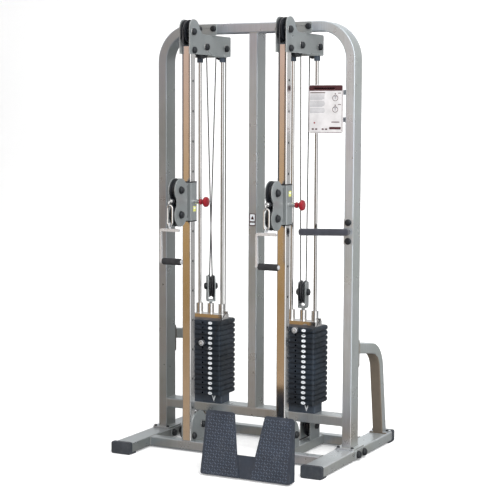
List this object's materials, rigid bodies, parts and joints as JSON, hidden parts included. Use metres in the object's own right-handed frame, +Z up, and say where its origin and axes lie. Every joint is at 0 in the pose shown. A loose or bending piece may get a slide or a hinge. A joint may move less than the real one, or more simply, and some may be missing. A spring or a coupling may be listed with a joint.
{
  "type": "cable crossover machine",
  "caption": "Free-standing dual adjustable cable column with sliding pulley carriages, weight stacks, arch frame, handles and a low row foot brace.",
  "frame": {"origin": "floor level, centre of the machine's footprint box", "axes": "+Z up; +X to the right of a person facing the machine; the user side faces -Y"},
  "size_m": [1.166, 1.08, 2.12],
  "materials": {
    "frame_paint": "silver grey metallic powder coat, fine texture",
    "silver_paint": "light silver powder coat, satin",
    "chrome": "polished chrome plate",
    "black_paint": "black powder coat, satin",
    "plate_iron": "black painted cast plates, semi matte",
    "rubber": "black rubber, matte",
    "foam": "dense foam sleeve, matte",
    "nylon": "moulded black nylon, satin",
    "red_plastic": "moulded red plastic, glossy",
    "placard_plastic": "white sheet plastic, smooth",
    "cable_coat": "black nylon coated steel cable"
  },
  "bodies": {
    "machine": {"arch_frame": "frame_paint", "center_frame": "frame_paint", "base_frame": "frame_paint", "end_caps": "rubber", "rear_braces": "frame_paint", "upright_saddles": "frame_paint", "columns": "chrome", "pulley_brackets": "silver_paint", "guide_rods": "chrome", "stack_seats": "rubber", "resting_plates": "plate_iron", "grab_bar": "foam", "placard": "placard_plastic", "foot_brace": "black_paint", "frame_bolts": "black_paint", "cables": "cable_coat", "cable_front_left": "cable_coat", "cable_front_right": "cable_coat", "cable_rear_left": "cable_coat", "cable_rear_right": "cable_coat", "cable_stack_left": "cable_coat", "cable_stack_right": "cable_coat"},
    "carriage_left": {"sleeve_left": "silver_paint", "liners_left": "nylon"},
    "pull_pin_left": {"pull_pin_left": "red_plastic"},
    "housing_left": {"housing_left": "silver_paint"},
    "upper_pulley_left": {"upper_pulley_left": "nylon"},
    "lower_pulley_left": {"lower_pulley_left": "nylon"},
    "top_front_pulley_left": {"top_front_pulley_left": "nylon"},
    "top_mid_pulley_left": {"top_mid_pulley_left": "nylon"},
    "top_rear_pulley_left": {"top_rear_pulley_left": "nylon"},
    "base_front_pulley_left": {"base_front_pulley_left": "nylon"},
    "base_rear_pulley_left": {"base_rear_pulley_left": "nylon"},
    "float_pulley_left": {"float_pulley_left": "nylon"},
    "hook_left": {"snap_hook_left": "chrome"},
    "handle_left": {"handle_frame_left": "chrome"},
    "grip_left": {"grip_left": "rubber"},
    "stack_left": {"stack_head_left": "chrome", "lifted_plates_left": "plate_iron"},
    "selector_pin_left": {"selector_pin_left": "chrome"},
    "float_bracket_left": {"float_bracket_left": "silver_paint"},
    "carriage_right": {"sleeve_right": "silver_paint", "liners_right": "nylon"},
    "pull_pin_right": {"pull_pin_right": "red_plastic"},
    "housing_right": {"housing_right": "silver_paint"},
    "upper_pulley_right": {"upper_pulley_right": "nylon"},
    "lower_pulley_right": {"lower_pulley_right": "nylon"},
    "top_front_pulley_right": {"top_front_pulley_right": "nylon"},
    "top_mid_pulley_right": {"top_mid_pulley_right": "nylon"},
    "top_rear_pulley_right": {"top_rear_pulley_right": "nylon"},
    "base_front_pulley_right": {"base_front_pulley_right": "nylon"},
    "base_rear_pulley_right": {"base_rear_pulley_right": "nylon"},
    "float_pulley_right": {"float_pulley_right": "nylon"},
    "hook_right": {"snap_hook_right": "chrome"},
    "handle_right": {"handle_frame_right": "chrome"},
    "grip_right": {"grip_right": "rubber"},
    "stack_right": {"stack_head_right": "chrome", "lifted_plates_right": "plate_iron"},
    "selector_pin_right": {"selector_pin_right": "chrome"},
    "float_bracket_right": {"float_bracket_right": "silver_paint"}
  },
  "joints": [
    {"name": "carriage_slide_left", "type": "slide", "parent": "machine", "child": "carriage_left", "axis": [0, 0, 1], "range_m": [-0.876, 0.584], "deforming": ["cable_front_left", "cable_rear_left"]},
    {"name": "pull_pin_slide_left", "type": "slide", "parent": "carriage_left", "child": "pull_pin_left", "axis": [1, 0, 0], "range_m": [-0.006, 0.01], "stiffness_N_per_m": 600, "springref_m": -0.006},
    {"name": "housing_swivel_left", "type": "hinge", "parent": "carriage_left", "child": "housing_left", "pos_m": [-0.258, -0.186, 1.2396], "axis": [0, 0, 1], "range_deg": [-45, 45]},
    {"name": "upper_pulley_spin_left", "type": "hinge", "parent": "housing_left", "child": "upper_pulley_left", "pos_m": [-0.258, -0.25, 1.2991], "axis": [1, 0, 0], "continuous": true},
    {"name": "lower_pulley_spin_left", "type": "hinge", "parent": "housing_left", "child": "lower_pulley_left", "pos_m": [-0.258, -0.25, 1.1801], "axis": [1, 0, 0], "continuous": true},
    {"name": "handle_pull_left", "type": "slide", "parent": "housing_left", "child": "hook_left", "axis": [0, -1, 0], "range_m": [0, 1.76]},
    {"name": "handle_swing_left", "type": "hinge", "parent": "hook_left", "child": "handle_left", "pos_m": [-0.258, -0.323, 1.133], "axis": [1, 0, 0], "range_deg": [-100, 40]},
    {"name": "grip_spin_left", "type": "hinge", "parent": "handle_left", "child": "grip_left", "pos_m": [-0.258, -0.323, 0.96], "axis": [1, 0, 0], "continuous": true},
    {"name": "stack_lift_left", "type": "slide", "parent": "machine", "child": "stack_left", "axis": [0, 0, 1], "range_m": [0, 0.88], "deforming": ["cable_stack_left"]},
    {"name": "selector_pin_slide_left", "type": "slide", "parent": "stack_left", "child": "selector_pin_left", "axis": [0, -1, 0], "range_m": [0, 0.095]},
    {"name": "float_swivel_left", "type": "hinge", "parent": "stack_left", "child": "float_bracket_left", "pos_m": [-0.258, 0.085, 0.72], "axis": [0, 0, 1], "range_deg": [-83, 7]},
    {"name": "float_pulley_spin_left", "type": "hinge", "parent": "float_bracket_left", "child": "float_pulley_left", "pos_m": [-0.258, 0.085, 0.8], "axis": [0.788, 0.6157, 0], "continuous": true},
    {"name": "top_front_spin_left", "type": "hinge", "parent": "machine", "child": "top_front_pulley_left", "pos_m": [-0.258, -0.148, 2.06], "axis": [1, 0, 0], "continuous": true},
    {"name": "top_mid_spin_left", "type": "hinge", "parent": "machine", "child": "top_mid_pulley_left", "pos_m": [-0.258, -0.017, 1.992], "axis": [1, 0, 0], "continuous": true},
    {"name": "top_rear_spin_left", "type": "hinge", "parent": "machine", "child": "top_rear_pulley_left", "pos_m": [-0.258, 0.187, 1.992], "axis": [1, 0, 0], "continuous": true},
    {"name": "base_front_spin_left", "type": "hinge", "parent": "machine", "child": "base_front_pulley_left", "pos_m": [-0.258, -0.049, 0.12], "axis": [1, 0, 0], "continuous": true},
    {"name": "base_rear_spin_left", "type": "hinge", "parent": "machine", "child": "base_rear_pulley_left", "pos_m": [-0.258, 0.187, 0.12], "axis": [1, 0, 0], "continuous": true},
    {"name": "carriage_slide_right", "type": "slide", "parent": "machine", "child": "carriage_right", "axis": [0, 0, 1], "range_m": [-0.876, 0.584], "deforming": ["cable_front_right", "cable_rear_right"]},
    {"name": "pull_pin_slide_right", "type": "slide", "parent": "carriage_right", "child": "pull_pin_right", "axis": [1, 0, 0], "range_m": [-0.006, 0.01], "stiffness_N_per_m": 600, "springref_m": -0.006},
    {"name": "housing_swivel_right", "type": "hinge", "parent": "carriage_right", "child": "housing_right", "pos_m": [0.258, -0.186, 1.2396], "axis": [0, 0, 1], "range_deg": [-45, 45]},
    {"name": "upper_pulley_spin_right", "type": "hinge", "parent": "housing_right", "child": "upper_pulley_right", "pos_m": [0.258, -0.25, 1.2991], "axis": [1, 0, 0], "continuous": true},
    {"name": "lower_pulley_spin_right", "type": "hinge", "parent": "housing_right", "child": "lower_pulley_right", "pos_m": [0.258, -0.25, 1.1801], "axis": [1, 0, 0], "continuous": true},
    {"name": "handle_pull_right", "type": "slide", "parent": "housing_right", "child": "hook_right", "axis": [0, -1, 0], "range_m": [0, 1.76]},
    {"name": "handle_swing_right", "type": "hinge", "parent": "hook_right", "child": "handle_right", "pos_m": [0.258, -0.323, 1.133], "axis": [1, 0, 0], "range_deg": [-100, 40]},
    {"name": "grip_spin_right", "type": "hinge", "parent": "handle_right", "child": "grip_right", "pos_m": [0.258, -0.323, 0.96], "axis": [1, 0, 0], "continuous": true},
    {"name": "stack_lift_right", "type": "slide", "parent": "machine", "child": "stack_right", "axis": [0, 0, 1], "range_m": [0, 0.88], "deforming": ["cable_stack_right"]},
    {"name": "selector_pin_slide_right", "type": "slide", "parent": "stack_right", "child": "selector_pin_right", "axis": [0, -1, 0], "range_m": [0, 0.095]},
    {"name": "float_swivel_right", "type": "hinge", "parent": "stack_right", "child": "float_bracket_right", "pos_m": [0.258, 0.085, 0.72], "axis": [0, 0, 1], "range_deg": [-55, 12]},
    {"name": "float_pulley_spin_right", "type": "hinge", "parent": "float_bracket_right", "child": "float_pulley_right", "pos_m": [0.258, 0.085, 0.8], "axis": [0.9848, 0.1736, 0], "continuous": true},
    {"name": "top_front_spin_right", "type": "hinge", "parent": "machine", "child": "top_front_pulley_right", "pos_m": [0.258, -0.148, 2.06], "axis": [1, 0, 0], "continuous": true},
    {"name": "top_mid_spin_right", "type": "hinge", "parent": "machine", "child": "top_mid_pulley_right", "pos_m": [0.258, -0.017, 1.992], "axis": [1, 0, 0], "continuous": true},
    {"name": "top_rear_spin_right", "type": "hinge", "parent": "machine", "child": "top_rear_pulley_right", "pos_m": [0.258, 0.187, 1.992], "axis": [1, 0, 0], "continuous": true},
    {"name": "base_front_spin_right", "type": "hinge", "parent": "machine", "child": "base_front_pulley_right", "pos_m": [0.258, -0.049, 0.12], "axis": [1, 0, 0], "continuous": true},
    {"name": "base_rear_spin_right", "type": "hinge", "parent": "machine", "child": "base_rear_pulley_right", "pos_m": [0.258, 0.187, 0.12], "axis": [1, 0, 0], "continuous": true}
  ],
  "couplings": [
    {"joint": "handle_pull_left", "follows": "stack_lift_left", "ratio": 2},
    {"joint": "top_front_spin_left", "follows": "stack_lift_left", "rad_per_m": 39.216},
    {"joint": "top_mid_spin_left", "follows": "stack_lift_left", "rad_per_m": 39.216},
    {"joint": "upper_pulley_spin_left", "follows": "stack_lift_left", "rad_per_m": -39.216},
    {"joint": "float_pulley_spin_left", "follows": "stack_lift_left", "rad_per_m": -19.608},
    {"joint": "top_rear_spin_left", "follows": "carriage_slide_left", "rad_per_m": -19.608},
    {"joint": "base_front_spin_left", "follows": "carriage_slide_left", "rad_per_m": -19.608},
    {"joint": "base_rear_spin_left", "follows": "carriage_slide_left", "rad_per_m": -19.608},
    {"joint": "handle_pull_right", "follows": "stack_lift_right", "ratio": 2},
    {"joint": "top_front_spin_right", "follows": "stack_lift_right", "rad_per_m": 39.216},
    {"joint": "top_mid_spin_right", "follows": "stack_lift_right", "rad_per_m": 39.216},
    {"joint": "upper_pulley_spin_right", "follows": "stack_lift_right", "rad_per_m": -39.216},
    {"joint": "float_pulley_spin_right", "follows": "stack_lift_right", "rad_per_m": -19.608},
    {"joint": "top_rear_spin_right", "follows": "carriage_slide_right", "rad_per_m": -19.608},
    {"joint": "base_front_spin_right", "follows": "carriage_slide_right", "rad_per_m": -19.608},
    {"joint": "base_rear_spin_right", "follows": "carriage_slide_right", "rad_per_m": -19.608}
  ]
}
